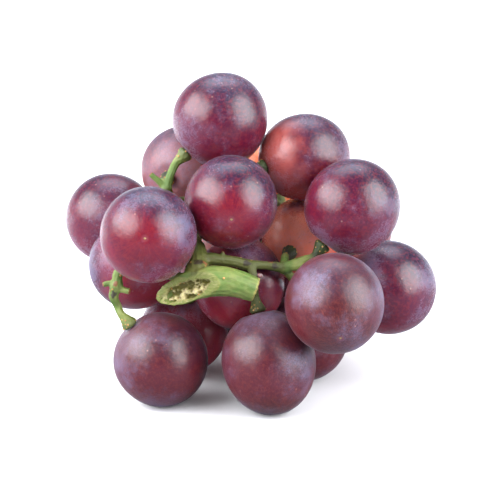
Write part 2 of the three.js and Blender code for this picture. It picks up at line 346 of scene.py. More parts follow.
def finish_tree(tree, geometry, material):
    """Makes instances real, paints everything and hands it out of a Geometry Nodes tree."""
    real = add(tree, "GeometryNodeRealizeInstances", {0: geometry}).outputs[0]
    painted = add(tree, "GeometryNodeSetMaterial", {"Geometry": real, "Material": material})
    tree.links.new(painted.outputs[0], tree.nodes.new("NodeGroupOutput").inputs[0])
    return tree


def berry_tree():
    tree = bpy.data.node_groups.new("berry_shape", "GeometryNodeTree")
    sizes = {"Width": 0.024, "Length": 0.025, "Dimple": 0.0006, "Pit": 0.0002, "Uneven": 0.0004, "Seed": 0.0}
    for name, default in sizes.items():
        tree.interface.new_socket(name, in_out="INPUT", socket_type=NUMBER).default_value = default
    tree.interface.new_socket("Skin", in_out="INPUT", socket_type="NodeSocketMaterial")
    tree.interface.new_socket("Berry", in_out="OUTPUT", socket_type="NodeSocketGeometry")
    given = tree.nodes.new("NodeGroupInput").outputs
    sphere_values = {"Segments": BERRY_SIDES, "Rings": BERRY_ROWS, "Radius": 1.0}
    sphere = add(tree, "GeometryNodeMeshUVSphere", sphere_values).outputs["Mesh"]
    way = add(tree, "GeometryNodeInputPosition").outputs[0]
    kept = keep_attribute(tree, sphere, "berry_way", "FLOAT_VECTOR", way)
    height = add(tree, "ShaderNodeSeparateXYZ", {0: way}).outputs["Z"]

    # The shape: fuller towards the stalk, then the two hollows, then gentle unevenness.
    fuller = ramp(tree, height, -1.0, 1.0, 0.985, 1.012)
    half_width = maths(tree, "MULTIPLY", maths(tree, "MULTIPLY", given["Width"], 0.5), fuller)
    half_length = maths(tree, "MULTIPLY", given["Length"], 0.5)
    halves = add(tree, "ShaderNodeCombineXYZ", {0: half_width, 1: half_width, 2: half_length}).outputs[0]
    shaped = point_maths(tree, "MULTIPLY", way, halves)
    stalk_end = ramp(tree, height, 0.93, 1.0)
    scar_end = ramp(tree, height, -0.9955, -1.0)
    hollow = maths(tree, "MULTIPLY", stalk_end, given["Dimple"])
    pit = maths(tree, "MULTIPLY", scar_end, given["Pit"])
    wave_place = point_maths(tree, "ADD", way, given["Seed"])
    wave_values = {"Vector": wave_place, "Scale": 0.9, "Detail": 1.0}
    wave = add(tree, "ShaderNodeTexNoise", wave_values).outputs["Fac"]
    bulge = maths(tree, "MULTIPLY", maths(tree, "SUBTRACT", wave, 0.5), given["Uneven"])
    lift = maths(tree, "SUBTRACT", bulge, maths(tree, "ADD", hollow, pit))
    placed = point_maths(tree, "ADD", shaped, point_maths(tree, "SCALE", way, lift))
    body = add(tree, "GeometryNodeSetPosition", {"Geometry": kept, "Position": placed}).outputs[0]
    body = add(tree, "GeometryNodeSetShadeSmooth", {"Geometry": body}).outputs[0]

    # The dry scar that the blossom left, one small button at the lower pole.
    button_values = {"Radius": SCAR_RADIUS * MM, "Subdivisions": 2}
    button = add(tree, "GeometryNodeMeshIcoSphere", button_values).outputs["Mesh"]
    button = keep_attribute(tree, button, "scar", "FLOAT", 1.0)
    button = add(tree, "GeometryNodeSetShadeSmooth", {"Geometry": button}).outputs[0]
    scar_depth = maths(tree, "SUBTRACT", given["Pit"], half_length)
    scar_place = add(tree, "ShaderNodeCombineXYZ", {2: scar_depth}).outputs[0]
    spot = add(tree, "GeometryNodePoints", {"Count": 1, "Position": scar_place}).outputs[0]
    scar_values = {"Points": spot, "Instance": button, "Scale": (1.0, 0.85, 0.45)}
    scar = add(tree, "GeometryNodeInstanceOnPoints", scar_values).outputs[0]
    joined = tree.nodes.new("GeometryNodeJoinGeometry")
    tree.links.new(body, joined.inputs[0])
    tree.links.new(scar, joined.inputs[0])
    seeded = keep_attribute(tree, joined.outputs[0], "seed", "FLOAT", given["Seed"])
    return finish_tree(tree, seeded, given["Skin"])


shape_of_berries = berry_tree()
print("berry tree:", len(shape_of_berries.nodes), "nodes")

# %% [markdown]
# ## The skin
#
# The skin is a thin dark film over pale flesh. It is red and full of fine fibres round the blossom
# scar, burgundy on the sides and violet near the stalk. Over it lies the bloom, a powdery grey-blue
# wax that is thick in some places and rubbed off in others, which also makes the highlights soft and
# mottled. Bloom, fibres and pale dots each are a node group, so that every skin, and the stem, can use
# them with its own amounts.


# %% Node groups shared by the skins and the stem
def bloom_group():
    """The mask of a powdery wax film: broad clouds, torn edges and fine grains."""
    tree, given, out = new_group(
        "waxy_bloom",
        {"Vector": (VECTOR, None), "Amount": (NUMBER, 0.5), "Cloud Scale": (NUMBER, 110.0)},
        {"Mask": NUMBER, "Grain": NUMBER, "Cover": NUMBER},
    )
    clouds = speckle(tree, given["Vector"], given["Cloud Scale"], 3.0, 0.55)
    torn = speckle(tree, given["Vector"], maths(tree, "MULTIPLY", given["Cloud Scale"], 5.5), 5.0, 0.7)
    grain = speckle(tree, given["Vector"], maths(tree, "MULTIPLY", given["Cloud Scale"], 26.0), 3.0, 0.7)
    cover = maths(tree, "ADD", clouds, maths(tree, "MULTIPLY", maths(tree, "SUBTRACT", torn, 0.5), 0.5))
    cover = maths(tree, "ADD", cover, maths(tree, "MULTIPLY", maths(tree, "SUBTRACT", grain, 0.5), 0.25))
    patches = ramp(tree, cover, 0.48, 0.78)
    tree.links.new(maths(tree, "MULTIPLY", patches, given["Amount"], clamp=True), out["Mask"])
    tree.links.new(grain, out["Grain"])
    tree.links.new(cover, out["Cover"])
    return tree


def fibre_group():
    """Fine streaks that run along Height and lie side by side round it."""
    tree, given, out = new_group(
        "fibres",
        {"Vector": (VECTOR, None), "Seed": (NUMBER, 0.0), "Count": (NUMBER, 14.0), "Stretch": (NUMBER, 3.0)},
        {"Streaks": NUMBER},
    )
    parts = add(tree, "ShaderNodeSeparateXYZ", {0: given["Vector"]}).outputs
    flat = add(tree, "ShaderNodeCombineXYZ", {0: parts["X"], 1: parts["Y"]}).outputs[0]
    fanned = point_maths(tree, "SCALE", point_maths(tree, "NORMALIZE", flat), given["Count"])
    along = maths(tree, "MULTIPLY", parts["Z"], given["Stretch"])
    lift = add(tree, "ShaderNodeCombineXYZ", {2: maths(tree, "ADD", along, given["Seed"])}).outputs[0]
    place = point_maths(tree, "ADD", fanned, lift)
    tree.links.new(speckle(tree, place, 1.0, 4.0, 0.65), out["Streaks"])
    return tree


def dot_group():
    """Sparse small round dots: the corky pores of a skin or a stalk."""
    tree, given, out = new_group(
        "pores",
        {"Vector": (VECTOR, None), "Scale": (NUMBER, 400.0), "Size": (NUMBER, 0.12), "Share": (NUMBER, 0.3)},
        {"Dots": NUMBER},
    )
    cells = add(tree, "ShaderNodeTexVoronoi", {"Vector": given["Vector"], "Scale": given["Scale"]})
    draw = add(tree, "ShaderNodeSeparateColor", {0: cells.outputs["Color"]}).outputs[0]
    kept = maths(tree, "LESS_THAN", draw, given["Share"])
    near = ramp(tree, cells.outputs["Distance"], given["Size"], 0.0)
    tree.links.new(maths(tree, "MULTIPLY", near, kept), out["Dots"])
    return tree


bloom = bloom_group()
fibres = fibre_group()
pores = dot_group()
print("shared groups:", bloom.name, fibres.name, pores.name)

# %% The skins
# name: the side that ripened in the light, the usual colour, the shaded side and round the scar;
# the stalk's end and the fibres; how much light goes through, how much wax lies on it, how dull it is.
# The shaded sides are painted paler and redder than the skin is: painted light that stands in for
# light passing through the flesh and bouncing between berries. For the same reason the stalk's end of
# the red, amber and honey skins is painted paler, and the deep, pink, amber and honey skins, on berries
# that lie in shade or are lit from behind, are painted lighter all over.
SKINS = {
    "ripe": (
        ((0.014, 0.005, 0.021), (0.088, 0.005, 0.022), (0.380, 0.009, 0.034)),
        ((0.090, 0.010, 0.030), (0.28, 0.022, 0.018)),
        (0.20, 0.30, 0.17),
    ),
    "wine": (
        ((0.036, 0.007, 0.018), (0.080, 0.007, 0.014), (0.125, 0.010, 0.012)),
        ((0.085, 0.020, 0.026), (0.22, 0.040, 0.024)),
        (0.22, 0.32, 0.27),
    ),
    "red": (
        ((0.024, 0.005, 0.022), (0.090, 0.004, 0.018), (0.480, 0.014, 0.030)),
        ((0.460, 0.100, 0.075), (0.28, 0.045, 0.026)),
        (0.35, 0.24, 0.19),
    ),
    "deep": (
        ((0.044, 0.012, 0.034), (0.230, 0.020, 0.042), (0.400, 0.026, 0.054)),
        ((0.300, 0.050, 0.070), (0.30, 0.050, 0.030)),
        (0.35, 0.32, 0.18),
    ),
    "pink": (
        ((0.030, 0.012, 0.030), (0.480, 0.190, 0.190), (0.880, 0.400, 0.360)),
        ((0.200, 0.075, 0.085), (0.40, 0.090, 0.070)),
        (0.62, 0.14, 0.34),
    ),
    "amber": (
        ((0.110, 0.022, 0.040), (0.560, 0.120, 0.085), (0.600, 0.110, 0.045)),
        ((0.640, 0.180, 0.120), (0.60, 0.160, 0.060)),
        (0.60, 0.22, 0.24),
    ),
    "honey": (
        ((0.090, 0.012, 0.030), (0.620, 0.140, 0.070), (0.950, 0.320, 0.110)),
        ((0.950, 0.400, 0.170), (0.85, 0.280, 0.120)),
        (0.95, 0.04, 0.22),
    ),
}
BLOOM_COLOUR = (0.30, 0.31, 0.50, 1)
SCAR_COLOUR = (0.30, 0.18, 0.08, 1)
PORE_COLOUR = (0.42, 0.20, 0.16, 1)
PIT_COLOUR = (0.24, 0.07, 0.08, 1)
# Paler skins also give off their own colour as a painted glow, which stands in for light shining through
# them from behind.
GLOW_FROM = 0.4  # skins that let less light through than this don't glow
GLOW_SHARE = 0.4


def skin_material(name, sides, details, amounts):
    violet, burgundy, red = sides
    stalk_end, fibre = details
    through, wax, dull = amounts
    material, tree, shader = new_material("skin_" + name)
    place = add(tree, "ShaderNodeTexCoord").outputs["Object"]
    way = kept_value(tree, "berry_way", "Vector")
    seed = kept_value(tree, "seed")
    scar = kept_value(tree, "scar")
    sun_side_and_painted_glow = kept_value(tree, "sun_side_and_painted_glow")
    bloom_and_painted_reflection = kept_value(tree, "bloom_and_painted_reflection")
    height = add(tree, "ShaderNodeSeparateXYZ", {0: way}).outputs["Z"]
    to_scar = maths(tree, "MULTIPLY", height, -1.0)

    clouds = speckle(tree, place, 95.0, 3.0, 0.55)
    drift = maths(tree, "MULTIPLY", maths(tree, "SUBTRACT", clouds, 0.5), 1.3)
    lit = maths(tree, "ADD", sun_side_and_painted_glow, drift)
    down = maths(tree, "ADD", to_scar, drift)
    side = blend(tree, ramp(tree, lit, -0.1, 0.95), (*burgundy, 1), (*violet, 1))
    # Where lit is low, on the shaded side, the paler red is painted light: it stands in for light that
    # passes through the berry and bounces between berries.
    side = blend(tree, ramp(tree, lit, -0.1, -1.1, 0.0, 0.75), side, (*red, 1))
    # Towards the stalk's end its own colour takes over; on the red, amber and honey skins that colour is
    # painted paler, the same painted light.
    side = blend(tree, ramp(tree, down, -0.15, -1.1, 0.0, 0.9), side, (*stalk_end, 1))
    near_scar = maths(tree, "ADD", to_scar, maths(tree, "MULTIPLY", drift, 0.4))
    scar_red = (red[0] * 0.36, red[1] * 0.6, red[2] * 0.5, 1)
    scar_share = ramp(tree, near_scar, 0.55, 1.02, 0.0, 0.8)
    scar_share = maths(tree, "MULTIPLY", scar_share, ramp(tree, sun_side_and_painted_glow, 0.45, 0.85, 1.0, 0.1))
    colour = blend(tree, scar_share, side, scar_red)

    streaks = use_group(tree, fibres, {"Vector": way, "Seed": seed, "Count": 18.0, "Stretch": 13.0})[0]
    fleck = ramp(tree, speckle(tree, place, 1100.0, 3.0, 0.7), 0.5, 0.75)
    by_scar = ramp(tree, to_scar, 0.35, 0.97, 0.22, 0.9)
    bright = maths(tree, "MULTIPLY", ramp(tree, streaks, 0.47, 0.66), by_scar)
    bright = maths(tree, "MULTIPLY", bright, ramp(tree, fleck, 0.0, 1.0, 0.35, 1.0))
    bright = maths(tree, "MULTIPLY", bright, ramp(tree, sun_side_and_painted_glow, 0.35, 0.9, 1.0, 0.25))
    colour = blend(tree, maths(tree, "MULTIPLY", bright, 0.8), colour, (*fibre, 1))
    mottle = ramp(tree, speckle(tree, place, 1250.0, 3.0, 0.7), 0.42, 0.68, 0.0, 0.26)
    colour = blend(tree, mottle, colour, (*fibre, 1))
    dark = maths(tree, "MULTIPLY", ramp(tree, streaks, 0.46, 0.30), 0.30)
    colour = blend(tree, dark, colour, (violet[0] * 0.6, violet[1] * 0.6, violet[2] * 0.8, 1))

    film = use_group(tree, bloom, {"Vector": place, "Amount": wax, "Cloud Scale": 105.0})
    by_stalk = ramp(tree, height, 0.60, 0.98, 0.0, 1.0)
    thick = maths(tree, "MAXIMUM", by_stalk, bloom_and_painted_reflection)
    thick = maths(tree, "MULTIPLY", thick, ramp(tree, film["Cover"], 0.36, 0.66, 0.1, 0.45))
    thick = maths(tree, "MULTIPLY", thick, ramp(tree, film["Grain"], 0.35, 0.65, 0.5, 1.15))
    wax_mask = maths(tree, "ADD", film["Mask"], thick, clamp=True)
    colour = blend(tree, maths(tree, "MULTIPLY", wax_mask, 0.42), colour, BLOOM_COLOUR)
    dots = use_group(tree, pores, {"Vector": place, "Scale": 420.0, "Size": 0.16, "Share": 0.22})[0]
    colour = blend(tree, maths(tree, "MULTIPLY", dots, 0.5), colour, PORE_COLOUR)
    pit_ring = ramp(tree, to_scar, 0.9955, 0.9992, 0.0, 0.35)
    colour = blend(tree, pit_ring, colour, PIT_COLOUR)
    colour = blend(tree, scar, colour, SCAR_COLOUR)
    tree.links.new(colour, shader.inputs["Base Color"])

    gloss = maths(tree, "ADD", dull, maths(tree, "MULTIPLY", wax_mask, 0.32))
    gloss = maths(tree, "ADD", gloss, maths(tree, "MULTIPLY", film["Grain"], 0.06))
    gloss = maths(tree, "MAXIMUM", gloss, maths(tree, "MULTIPLY", scar, 0.8))
    tree.links.new(gloss, shader.inputs["Roughness"])
    relief = maths(tree, "ADD", film["Grain"], maths(tree, "MULTIPLY", streaks, 0.5))
    relief = maths(tree, "ADD", relief, maths(tree, "MULTIPLY", wax_mask, 0.6))
    relief = maths(tree, "ADD", relief, maths(tree, "MULTIPLY", speckle(tree, place, 330.0, 2.0), 2.4))
    relief = maths(tree, "ADD", relief, maths(tree, "MULTIPLY", speckle(tree, place, 900.0, 2.0), 0.8))
    bumped(tree, shader, relief, 0.32, 0.00014)
    # Painted glow: the skin's colour is given off as light, standing in for light that has crossed the
    # flesh.
    tree.links.new(colour, shader.inputs["Emission Color"])
    painted_glow = max(0.0, through - GLOW_FROM) * GLOW_SHARE  # light that has crossed the pale flesh
    set_shader(shader, {
        "IOR": 1.5,
        "Subsurface Weight": through,
        "Subsurface Radius": (1.0, 0.28, 0.18),
        "Subsurface Scale": 0.004,
        "Emission Strength": painted_glow,
        "Sheen Weight": 0.11,
        "Sheen Roughness": 0.30,
        "Sheen Tint": (0.78, 0.84, 1.0, 1),
    })
    return material


skins = {name: skin_material(name, *settings) for name, settings in SKINS.items()}
print("skins:", ", ".join(skins))


# %% Make each berry
# The side of each berry that ripened in the light is the darkest. Most face up and to the right.
# The opposite side gets the paler red of painted light, and a berry with a way of its own has it
# turned so that this painted glow lies where the berry is in shade or lit from behind.
SUNNY_SIDE = (0.42, -0.12, 0.9)
OTHER_SIDES = {
    "grape_11": (-0.6, -0.25, 0.76),
    "grape_12": (-0.95, 0.1, -0.05),
    "grape_13": (-0.5, 0.1, 0.8),
    "grape_15": (-0.6, -0.1, 0.8),
    "grape_17": (0.1, 0.9, 0.4),
    "grape_18": (-0.3, 0.9, 0.3),
}
# Where the wax film is thick: the way it faces, and its half angle in radians. On grape_08 the
# patch on top is widened past the wax, so it is partly wax and partly a painted reflection of the top panel.
BLOOM_AND_REFLECTION_SIDES = {
    "grape_01": [((-0.8, -0.6, -0.2), 0.75), ((0.2, -0.5, 0.85), 0.6)],
    "grape_02": [((0.05, -0.45, 0.9), 0.5), ((0.9, -0.4, 0.2), 0.4)],
    "grape_03": [((0.6, -0.6, -0.7), 0.6)],
    "grape_04": [((0.85, -0.5, -0.1), 0.8), ((-0.3, -0.4, 0.85), 0.5)],
    "grape_05": [((-0.5, -0.55, 0.7), 0.7), ((0.9, -0.45, 0.0), 0.7), ((0.3, -0.8, -0.55), 0.6)],
    "grape_06": [((0.55, -0.8, 0.05), 0.65), ((-0.1, -0.35, 0.95), 0.6), ((-0.9, -0.4, 0.1), 0.5)],
    "grape_07": [((-0.6, -0.1, 0.78), 0.75), ((-0.9, -0.4, -0.2), 0.6), ((0.1, -0.55, -0.85), 0.6)],
    # grape_08's patch on top is partly wax and partly a painted reflection of the top panel.
    "grape_08": [((0.85, -0.5, 0.3), 0.8), ((-0.25, -0.3, 0.92), 0.75), ((0.3, -0.6, -0.75), 0.5)],
    "grape_09": [((0.75, -0.65, -0.15), 0.6), ((-0.3, -0.3, 0.9), 0.5)],
    "grape_10": [((-0.5, -0.75, -0.45), 0.8), ((0.3, -0.75, 0.55), 0.7)],
    "grape_11": [((-0.6, -0.5, 0.6), 0.6)],
    "grape_12": [((-0.85, -0.5, 0.1), 0.8)],
    "grape_13": [((-0.3, -0.5, 0.8), 0.6)],
    "grape_14": [((0.2, -0.4, 0.9), 0.5)],
}


def evaluated_mesh(thing, name):
    """The plain mesh that a modifier makes of thing."""
    bpy.context.view_layer.update()
    made = thing.evaluated_get(bpy.context.evaluated_depsgraph_get())
    mesh = bpy.data.meshes.new_from_object(made)
    mesh.name = name
    return mesh


def tree_mesh(name, base, tree, values):
    """Runs a Geometry Nodes tree on the base mesh, with its named inputs, and returns a plain mesh."""
    holder = new_object(name + "_holder", base)
    modifier = holder.modifiers.new("shape", "NODES")
    modifier.node_group = tree
    for socket in tree.interface.items_tree:
        if socket.in_out == "INPUT" and socket.name in values:
            modifier[socket.identifier] = values[socket.name]
    mesh = evaluated_mesh(holder, name)
    bpy.data.objects.remove(holder)
    return mesh


def keep(mesh, name, values):
    """Stores one number or one vector per vertex."""
    kind = "FLOAT" if values.ndim == 1 else "FLOAT_VECTOR"
    attribute = mesh.attributes.new(name, kind, "POINT")
    attribute.data.foreach_set("value" if values.ndim == 1 else "vector", values.astype(np.float32).ravel())


def finished_piece(name, mesh, slot, *nodes):
    """Puts a finished mesh in the scene as a piece of the bunch."""
    piece = new_object(name, mesh)
    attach(piece, "root")
    if nodes:
        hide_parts(*nodes)
    return piece


def stalk_turn(stalk):
    """The rotation that takes a berry's own +Z to the way its stalk leaves it."""
    return Vector(stalk).to_track_quat("Z", "Y").to_matrix().to_4x4()


def middle_of(name):
    """The middle of a packed berry, in metres."""
    low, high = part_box(name)
    return (low + high) / 2


def make_berry(number, name, stalk, width, length, skin):
    values = {
        "Width": (width + BERRY_GAP) * MM,
        "Length": (length + BERRY_GAP) * MM,
        "Seed": number * 7.3,
        "Skin": skins[skin],
    }
    mesh = tree_mesh(name, bpy.data.meshes.new(name + "_base"), shape_of_berries, values)
    middle = middle_of(name)
    mesh.transform(Matrix.Translation(middle) @ stalk_turn(stalk))
    outward = np.array([(vertex.co - middle).normalized() for vertex in mesh.vertices])
    sunny = Vector(OTHER_SIDES.get(name, SUNNY_SIDE)).normalized()
    keep(mesh, "sun_side_and_painted_glow", outward @ np.array(sunny))
    bloom_and_painted_reflection = np.zeros(len(outward))
    for towards, size in BLOOM_AND_REFLECTION_SIDES.get(name, ()):
        nearness = outward @ np.array(Vector(towards).normalized())
        bloom_and_painted_reflection = np.maximum(bloom_and_painted_reflection, np.clip((nearness - math.cos(size)) / (1 - math.cos(size)), 0, 1))
    keep(mesh, "bloom_and_painted_reflection", bloom_and_painted_reflection)
    for vertex in mesh.vertices:
        vertex.co.z = max(vertex.co.z, 0.0)  # it settles flat where it rests on the table
    return finished_piece(name + "_berry", mesh, "berry_skin", name)


for number, (name, settings) in enumerate(BERRIES.items()):
    berry = make_berry(number, name, *settings)
    print(berry.name, len(berry.data.polygons), "faces")

# %% [markdown]
# ## The stem
#
# The stem is one living piece: a thick cut shoot, a bent neck, side branches that swell where they
# fork, and a thin stalk that flares into a cap under each berry. Curves with a bevel would cross each
# other without joining. So each branch is swept as its own closed tube along the same points as the
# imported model's, all tubes are fused by a voxel remesh, which melts the forks together, and ridges and
# the torn cut are then pressed into the fused surface.

# %% Where the branches run, in millimetres: x, y, z and the diameter
MAIN_STEM = [
    (2, -30.3, 33.2, 6.3),
    (-2, -30.2, 34.7, 6.9),
    (-6, -30, 35.5, 7.7),
    (-10, -30, 35.5, 8),
    (-14, -30, 34.6, 7.9),
    (-17.5, -30.2, 33.1, 7.3),
    (-20.5, -30.3, 32, 6.4),
    (-25.4, -30.5, 30, 4.2),
]
NECK = (-14.5, -14, 41.3)
HEART = (-5, 2, 47)
RIGHT_FORK = (9.4, -19.2, 36.1)
LEFT_FORK = (-22, -5.8, 54.5)
LOW_FORK = (-34.4, -23.8, 32.5)
BACK_FORK = (0, 8, 46)
BACK_END = (6, 19, 34)
RACHIS = [
    (-13, -29, 35.8, 6.4),
    (-13, -25, 38.8, 5.2),
    (-13.2, -20.5, 41.3, 4.4),
    (*NECK, 4.2),
    (-14, -6, 41.8, 4),
    (-10, 0, 45, 4),
    (*HEART, 3.8),
]
BACK_BRANCH = [(*HEART, 3.4), (*BACK_FORK, 3.2), (4, 14, 41, 2.7), (*BACK_END, 2.4)]
RIGHT_BRANCH = [
    (-13, -24, 38.6, 3.6),
    (-10, -23.4, 39.7, 3.2),
    (-7, -23, 39.3, 2.9),
    (-3.7, -22.6, 38.7, 2.8),
    (-0.6, -22.3, 37.9, 2.9),
    (3.8, -21.3, 37.4, 2.2),
    (*RIGHT_FORK, 2.8),
]
LEFT_BRANCH = [(*HEART, 3), (-14, -1, 50, 2.6), (-20, -4, 50.7, 2.5), (*LEFT_FORK, 2.4)]
LOW_LEFT_BRANCH = [
    (-14.5, -28.5, 35.8, 2.8),
    (-19.5, -24, 35.2, 2.1),
    (-25.3, -21.5, 34.8, 2),
    (-30.3, -21.6, 35.5, 2.1),
    (-33.6, -23, 36.2, 2.5),
    (*LOW_FORK, 3),
]
STUBS = [
    [(*LEFT_FORK, 2.2), (-24.4, -5.7, 56.7, 1.6), (-26.3, -5.5, 58.4, 1.4)],
    [(*LOW_FORK, 2.2), (-36.2, -23.8, 33.2, 1.5), (-38, -24.1, 32.8, 1.4)],
    [(-34.4, -23.8, 31.8, 2.2), (-32.7, -24.5, 31.6, 1.7), (-30.8, -25, 31.2, 1.6)],
    [(-6.8, -23, 39.3, 1.4), (-6.5, -22.8, 41.6, 0.9)],
]
KNOTS = [
    ((-13, -27.5, 37), 7),
    (NECK, 4.6),
    (HEART, 5.4),
    (RIGHT_FORK, 3.6),
    (LEFT_FORK, 3.2),
    (LOW_FORK, 3.7),
    (BACK_FORK, 4),
    (BACK_END, 3.6),
]
STALK_WIDTH = 2.1  # where a point of a stalk has no diameter of its own
STALKS = {
    "grape_01": [(*LEFT_FORK, 2.6), (-20.9, -5, 58)],
    "grape_02": [(*HEART, 2.6), (-2.5, 1.5, 53.5), (0.2, 0, 57.7)],
    "grape_03": [(*RIGHT_FORK, 2.8), (14, -18.4, 37.7, 2.3)],
    "grape_04": [(*RIGHT_FORK, 2.6), (16, -17.5, 37, 2.2), (22, -15.5, 36.3)],
    "grape_05": [(*RIGHT_FORK, 2.4), (15, -19, 36.8, 2.2)],
    "grape_06": [(0.8, -22.3, 38, 2.4), (1.4, -24.2, 34, 2.2)],
    "grape_07": [(*LOW_FORK, 3), (-35.2, -24, 29.6, 2.5), (-34.2, -23.5, 26.7)],
    "grape_08": [(*NECK, 2.4), (-20.5, -13, 44.4)],
    "grape_09": [(*HEART, 2.6), (-5, 2.4, 52)],
    "grape_10": [(-20, -4, 50.7, 2.4), (-25, -1, 49.2)],
    "grape_11": [(*LEFT_FORK, 2.2), (-22.4, -2, 54.8)],
    "grape_12": [(*NECK, 2.4)],
    "grape_13": [(-14, -18, 41, 2.4), (-15.8, -13.5, 34), (-16.5, -9, 28)],
    "grape_14": [(*HEART, 2.4), (-4.4, 0.5, 43.5)],
    "grape_15": [(*RIGHT_FORK, 2.4), (9.8, -14.5, 37.6)],
    "grape_16": [(*RIGHT_FORK, 2.4), (12, -15.6, 31.5)],
    "grape_17": [(*BACK_FORK, 2.4), (4.8, 8.6, 47.8)],
    "grape_18": [(*HEART, 2.4)],
    "grape_19": [(*BACK_END, 2.4), (1, 23.5, 27.5)],
    "grape_20": [(*BACK_END, 2.4), (7.3, 19, 29.5)],
    "grape_21": [(*HEART, 2.4), (-4, 14, 47), (-7, 21, 45)],
    "grape_22": [(4.6, 15.5, 39.2, 2.4), (9.5, 19, 37.8)],
    "grape_23": [(*BACK_END, 2.4)],
}
# The cap under a berry: distance from the berry's skin, and diameter there.
CAP = [(3.6, 2.2), (2.6, 2.6), (1.7, 3.2), (0.9, 3.9), (0.35, 4.3), (0, 4.3), (-0.45, 3.7)]
print(len(STALKS), "stalks,", len(STUBS), "stubs,", len(KNOTS), "knots")


# %% Sweep a closed tube along a branch
LINE_STEP = 0.5
TUBE_SIDES = 20


def centripetal(p0, p1, p2, p3, share):
    """The point at share of the way from p1 to p2 on a smooth curve through all four."""
    t0 = 0.0
    t1 = t0 + np.linalg.norm(p1[:3] - p0[:3]) ** 0.5
    t2 = t1 + np.linalg.norm(p2[:3] - p1[:3]) ** 0.5
    t3 = t2 + np.linalg.norm(p3[:3] - p2[:3]) ** 0.5
    t = t1 + (t2 - t1) * share
    a1 = (t1 - t) / (t1 - t0) * p0 + (t - t0) / (t1 - t0) * p1
    a2 = (t2 - t) / (t2 - t1) * p1 + (t - t1) / (t2 - t1) * p2
    a3 = (t3 - t) / (t3 - t2) * p2 + (t - t2) / (t3 - t2) * p3
    b1 = (t2 - t) / (t2 - t0) * a1 + (t - t0) / (t2 - t0) * a2
    b2 = (t3 - t) / (t3 - t1) * a2 + (t - t1) / (t3 - t1) * a3
    return (t2 - t) / (t2 - t1) * b1 + (t - t1) / (t2 - t1) * b2


def smooth_line(points):
    """Places and diameters, no more than LINE_STEP apart, along a branch."""
    spots = [np.array(point, float) for point in points]
    chain = [2 * spots[0] - spots[1], *spots, 2 * spots[-1] - spots[-2]]
    line = []
    for p0, p1, p2, p3 in zip(chain, chain[1:], chain[2:], chain[3:]):
        count = max(1, math.ceil(np.linalg.norm(p2[:3] - p1[:3]) / LINE_STEP))
        line += [centripetal(p0, p1, p2, p3, k / count) for k in range(count)]
    return np.array([*line, spots[-1]])


def carried_frames(line):
    """At each place on a line: the way along it and two ways across, which never twist."""
    ways = np.gradient(line[:, :3], axis=0)
    frames = []
    across = Vector((0.31, 0.22, 0.93))
    for way in ways:
        along = Vector(way).normalized()
        across = (across - along * across.dot(along)).normalized()
        frames.append((along, across, along.cross(across)))
    return frames


def add_tube(shape, line, frames):
    """Adds a closed tube to a bmesh. Its first and last ring are closed by a flat lid."""
    rings = []
    for (x, y, z, wide), (_, across, other) in zip(line, frames):
        ring = []
        for side in range(TUBE_SIDES):
            turn = 2 * math.pi * side / TUBE_SIDES
            spot = Vector((x, y, z)) + (across * math.cos(turn) + other * math.sin(turn)) * (wide / 2)
            ring.append(shape.verts.new(spot * MM))
        rings.append(ring)
    for one, other in zip(rings, rings[1:]):
        for side in range(TUBE_SIDES):
            after = (side + 1) % TUBE_SIDES
            shape.faces.new((one[side], one[after], other[after], other[side]))
    shape.faces.new(rings[0][::-1])
    shape.faces.new(rings[-1])


def stalk_points(name):
    """A stalk's own points, and then its cap on the axis of the berry that it carries."""
    stalk, _, length, _ = BERRIES[name]
    middle = middle_of(name) / MM
    way = Vector(stalk).normalized()
    cap = []
    for distance, wide in CAP:
        spot = middle + way * ((length + BERRY_GAP) / 2 + distance)
        cap.append((*spot, wide))
    own = [point if len(point) == 4 else (*point, STALK_WIDTH) for point in STALKS[name]]
    return [*own, *cap]


branches = {
    "main": MAIN_STEM,
    "rachis": RACHIS,
    "back": BACK_BRANCH,
    "right": RIGHT_BRANCH,
    "left": LEFT_BRANCH,
    "low_left": LOW_LEFT_BRANCH,
}
branches.update({f"stub_{number}": stub for number, stub in enumerate(STUBS)})
branches.update({f"stalk_{name}": stalk_points(name) for name in STALKS})
lines = {name: smooth_line(points) for name, points in branches.items()}
frames_of = {name: carried_frames(line) for name, line in lines.items()}
print("stem: about", round(sum(len(line) for line in lines.values()) * LINE_STEP), "mm of branches")

# %% Cut the thick end and fuse the branches
SLICE_AT = Vector((-16, -30.9, 33.7))
SLICE_FACING = Vector((-0.37, -0.92, 0.11)).normalized()
SLICE_ALONG = Vector((-0.87, 0.3, -0.39))
SLICE_ALONG = (SLICE_ALONG - SLICE_FACING * SLICE_ALONG.dot(SLICE_FACING)).normalized()
SLICE_ACROSS = SLICE_FACING.cross(SLICE_ALONG)
VOXEL = 0.26

main_shape = bmesh.new()
add_tube(main_shape, lines["main"], frames_of["main"])
everything = [*main_shape.verts, *main_shape.edges, *main_shape.faces]
bmesh.ops.bisect_plane(
    main_shape,
    geom=everything,
    plane_co=SLICE_AT * MM,
    plane_no=SLICE_FACING,
    clear_outer=True,
)
open_edges = [edge for edge in main_shape.edges if edge.is_boundary]
bmesh.ops.holes_fill(main_shape, edges=open_edges)
rough_stem = bpy.data.meshes.new("rough_stem")
main_shape.to_mesh(rough_stem)
main_shape.free()

whole = bmesh.new()
whole.from_mesh(rough_stem)
for name, line in lines.items():
    if name != "main":
        add_tube(whole, line, frames_of[name])
for middle, wide in KNOTS:
    place = Matrix.Translation(Vector(middle) * MM)
    bmesh.ops.create_icosphere(whole, subdivisions=3, radius=wide / 2 * MM, matrix=place)
bmesh.ops.recalc_face_normals(whole, faces=whole.faces)
whole.to_mesh(rough_stem)
whole.free()


